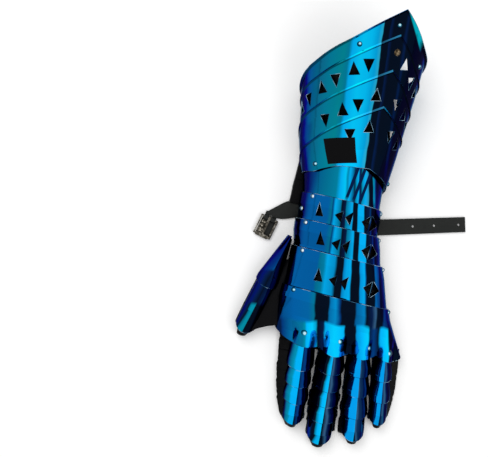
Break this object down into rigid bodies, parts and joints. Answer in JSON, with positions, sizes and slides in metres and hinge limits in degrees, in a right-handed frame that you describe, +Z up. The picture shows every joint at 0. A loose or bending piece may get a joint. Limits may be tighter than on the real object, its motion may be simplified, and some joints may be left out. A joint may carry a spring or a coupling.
{
  "type": "articulated gauntlet",
  "caption": "Left plate gauntlet of lapped wrist, hand, finger and thumb plates over a leather glove, with a pierced flared cuff, a wrist strap and a buckle.",
  "frame": {"origin": "on the table at the middle of the flat palm, with the hand lying palm down", "axes": "+Y runs up the arm towards the cuff mouth, +X points to the little finger side, +Z is up from the table"},
  "size_m": [0.23, 0.4615, 0.1221],
  "materials": {
    "blue_steel": "mirror polish under a clear blue tint",
    "rivet_steel": "bright domed heads",
    "brass": "dull",
    "tag": "plain black, matte",
    "glove_leather": "black, satin",
    "strap_leather": "dark grey, satin",
    "buckle_metal": "old silver"
  },
  "bodies": {
    "cuff": {"cuff_plate": "blue_steel", "cuff_rivets": "rivet_steel", "brass_rivet": "brass", "blank_tag": "tag", "glove_cuff": "glove_leather"},
    "lame_1": {"wrist_lame_1": "blue_steel", "wrist_lining_1": "glove_leather"},
    "lame_2": {"wrist_lame_2": "blue_steel", "wrist_lame_2_rivets": "rivet_steel", "wrist_lining_2": "glove_leather", "strap_tail": "strap_leather", "buckle_strap": "strap_leather"},
    "lame_3": {"wrist_lame_3": "blue_steel", "wrist_lame_3_rivets": "rivet_steel", "wrist_lining_3": "glove_leather"},
    "hand": {"metacarpal_plate": "blue_steel", "metacarpal_rivets": "rivet_steel", "glove_palm": "glove_leather"},
    "knuckles": {"knuckle_plate": "blue_steel", "knuckle_rivets": "rivet_steel", "glove_knuckles": "glove_leather"},
    "index_1": {"index_lame_1": "blue_steel", "index_stall_1": "glove_leather"},
    "index_2": {"index_lame_2": "blue_steel", "index_stall_2": "glove_leather"},
    "index_3": {"index_lame_3": "blue_steel", "index_stall_3": "glove_leather"},
    "index_4": {"index_lame_4": "blue_steel", "index_stall_4": "glove_leather"},
    "middle_1": {"middle_lame_1": "blue_steel", "middle_stall_1": "glove_leather"},
    "middle_2": {"middle_lame_2": "blue_steel", "middle_stall_2": "glove_leather"},
    "middle_3": {"middle_lame_3": "blue_steel", "middle_stall_3": "glove_leather"},
    "middle_4": {"middle_lame_4": "blue_steel", "middle_stall_4": "glove_leather"},
    "middle_5": {"middle_lame_5": "blue_steel", "middle_stall_5": "glove_leather"},
    "ring_1": {"ring_lame_1": "blue_steel", "ring_stall_1": "glove_leather"},
    "ring_2": {"ring_lame_2": "blue_steel", "ring_stall_2": "glove_leather"},
    "ring_3": {"ring_lame_3": "blue_steel", "ring_stall_3": "glove_leather"},
    "ring_4": {"ring_lame_4": "blue_steel", "ring_stall_4": "glove_leather"},
    "little_1": {"little_lame_1": "blue_steel", "little_stall_1": "glove_leather"},
    "little_2": {"little_lame_2": "blue_steel", "little_stall_2": "glove_leather"},
    "little_3": {"little_lame_3": "blue_steel", "little_stall_3": "glove_leather"},
    "thumb_base": {"thumb_base_lame": "blue_steel", "thumb_base_stall": "glove_leather"},
    "thumb_tip": {"thumb_tip_lame": "blue_steel", "thumb_tip_stall": "glove_leather"},
    "buckle_frame": {"buckle_frame": "buckle_metal"},
    "buckle_prong": {"buckle_prong": "buckle_metal"},
    "buckle_roller": {"buckle_roller": "buckle_metal"}
  },
  "joints": [
    {"name": "cuff_to_lame_1", "type": "hinge", "parent": "cuff", "child": "lame_1", "pos_m": [-0.00378, 0.1134, 0.04038], "axis": [0.9454, 0, -0.3259], "range_deg": [-4, 4]},
    {"name": "lame_1_to_lame_2", "type": "hinge", "parent": "lame_1", "child": "lame_2", "pos_m": [-0.0006, 0.07995, 0.03776], "axis": [0.9594, 0, -0.282], "range_deg": [-5, 5]},
    {"name": "lame_2_to_lame_3", "type": "hinge", "parent": "lame_2", "child": "lame_3", "pos_m": [0.00186, 0.0513, 0.03599], "axis": [0.9722, 0, -0.2341], "range_deg": [-5, 5]},
    {"name": "lame_3_to_hand", "type": "hinge", "parent": "lame_3", "child": "hand", "pos_m": [0.00985, 0.0216, 0.03407], "axis": [0.9814, 0, -0.1917], "range_deg": [-5, 5]},
    {"name": "hand_to_knuckles", "type": "hinge", "parent": "hand", "child": "knuckles", "pos_m": [0.01913, -0.0216, 0.0317], "axis": [0.9898, 0, -0.1427], "range_deg": [-5, 5]},
    {"name": "index_knuckle", "type": "hinge", "parent": "knuckles", "child": "index_1", "pos_m": [-0.00879, -0.07468, 0.012], "axis": [0.9942, 0.108, 0], "range_deg": [0, 20]},
    {"name": "index_curl_1", "type": "hinge", "parent": "index_1", "child": "index_2", "pos_m": [-0.00592, -0.10102, 0.012], "axis": [0.9942, 0.108, 0], "range_deg": [0, 20]},
    {"name": "index_curl_2", "type": "hinge", "parent": "index_2", "child": "index_3", "pos_m": [-0.00389, -0.11971, 0.012], "axis": [0.9942, 0.108, 0], "range_deg": [0, 20]},
    {"name": "index_curl_3", "type": "hinge", "parent": "index_3", "child": "index_4", "pos_m": [-0.00186, -0.1384, 0.012], "axis": [0.9942, 0.108, 0], "range_deg": [0, 20]},
    {"name": "middle_knuckle", "type": "hinge", "parent": "knuckles", "child": "middle_1", "pos_m": [0.02449, -0.07717, 0.012], "axis": [0.9959, 0.0906, 0], "range_deg": [0, 20]},
    {"name": "middle_curl_1", "type": "hinge", "parent": "middle_1", "child": "middle_2", "pos_m": [0.02634, -0.09749, 0.012], "axis": [0.9959, 0.0906, 0], "range_deg": [0, 20]},
    {"name": "middle_curl_2", "type": "hinge", "parent": "middle_2", "child": "middle_3", "pos_m": [0.02808, -0.11661, 0.012], "axis": [0.9959, 0.0906, 0], "range_deg": [0, 20]},
    {"name": "middle_curl_3", "type": "hinge", "parent": "middle_3", "child": "middle_4", "pos_m": [0.02962, -0.13354, 0.012], "axis": [0.9959, 0.0906, 0], "range_deg": [0, 20]},
    {"name": "middle_curl_4", "type": "hinge", "parent": "middle_4", "child": "middle_5", "pos_m": [0.03125, -0.15146, 0.012], "axis": [0.9959, 0.0906, 0], "range_deg": [0, 20]},
    {"name": "ring_knuckle", "type": "hinge", "parent": "knuckles", "child": "ring_1", "pos_m": [0.05427, -0.07321, 0.012], "axis": [0.9866, 0.1633, 0], "range_deg": [0, 20]},
    {"name": "ring_curl_1", "type": "hinge", "parent": "ring_1", "child": "ring_2", "pos_m": [0.05753, -0.09294, 0.012], "axis": [0.9866, 0.1633, 0], "range_deg": [0, 20]},
    {"name": "ring_curl_2", "type": "hinge", "parent": "ring_2", "child": "ring_3", "pos_m": [0.06112, -0.11465, 0.012], "axis": [0.9866, 0.1633, 0], "range_deg": [0, 20]},
    {"name": "ring_curl_3", "type": "hinge", "parent": "ring_3", "child": "ring_4", "pos_m": [0.06505, -0.13832, 0.012], "axis": [0.9866, 0.1633, 0], "range_deg": [0, 20]},
    {"name": "little_knuckle", "type": "hinge", "parent": "knuckles", "child": "little_1", "pos_m": [0.0805, -0.06921, 0.012], "axis": [0.9877, 0.1564, 0], "range_deg": [0, 20]},
    {"name": "little_curl_1", "type": "hinge", "parent": "little_1", "child": "little_2", "pos_m": [0.08409, -0.09192, 0.012], "axis": [0.9877, 0.1564, 0], "range_deg": [0, 20]},
    {"name": "little_curl_2", "type": "hinge", "parent": "little_2", "child": "little_3", "pos_m": [0.08777, -0.11513, 0.012], "axis": [0.9877, 0.1564, 0], "range_deg": [0, 20]},
    {"name": "thumb_spread", "type": "hinge", "parent": "hand", "child": "thumb_base", "pos_m": [-0.0502, 0.02835, 0.012], "axis": [0, 0, -1], "range_deg": [0, 14]},
    {"name": "thumb_bend", "type": "hinge", "parent": "thumb_base", "child": "thumb_tip", "pos_m": [-0.06313, -0.02268, 0.012], "axis": [0.9744, -0.225, 0], "range_deg": [0, 20]},
    {"name": "buckle_lift", "type": "hinge", "parent": "lame_2", "child": "buckle_frame", "pos_m": [-0.0769, 0.04665, 0.0034], "axis": [-0.9774, 0.2113, 0], "range_deg": [0, 75]},
    {"name": "prong_lift", "type": "hinge", "parent": "buckle_frame", "child": "buckle_prong", "pos_m": [-0.0769, 0.04665, 0.0034], "axis": [-0.9774, 0.2113, 0], "range_deg": [0, 50]},
    {"name": "roller_spin", "type": "hinge", "parent": "buckle_frame", "child": "buckle_roller", "pos_m": [-0.08113, 0.0271, 0.0034], "axis": [-0.9774, 0.2113, 0], "continuous": true}
  ],
  "couplings": [
    {"joint": "lame_1_to_lame_2", "follows": "cuff_to_lame_1", "ratio": 1.25},
    {"joint": "lame_2_to_lame_3", "follows": "cuff_to_lame_1", "ratio": 1.25},
    {"joint": "lame_3_to_hand", "follows": "cuff_to_lame_1", "ratio": 1.25},
    {"joint": "index_curl_2", "follows": "index_curl_1", "ratio": 1},
    {"joint": "index_curl_3", "follows": "index_curl_1", "ratio": 1},
    {"joint": "middle_curl_2", "follows": "middle_curl_1", "ratio": 1},
    {"joint": "middle_curl_3", "follows": "middle_curl_1", "ratio": 1},
    {"joint": "middle_curl_4", "follows": "middle_curl_1", "ratio": 1},
    {"joint": "ring_curl_2", "follows": "ring_curl_1", "ratio": 1},
    {"joint": "ring_curl_3", "follows": "ring_curl_1", "ratio": 1},
    {"joint": "little_curl_2", "follows": "little_curl_1", "ratio": 1}
  ]
}
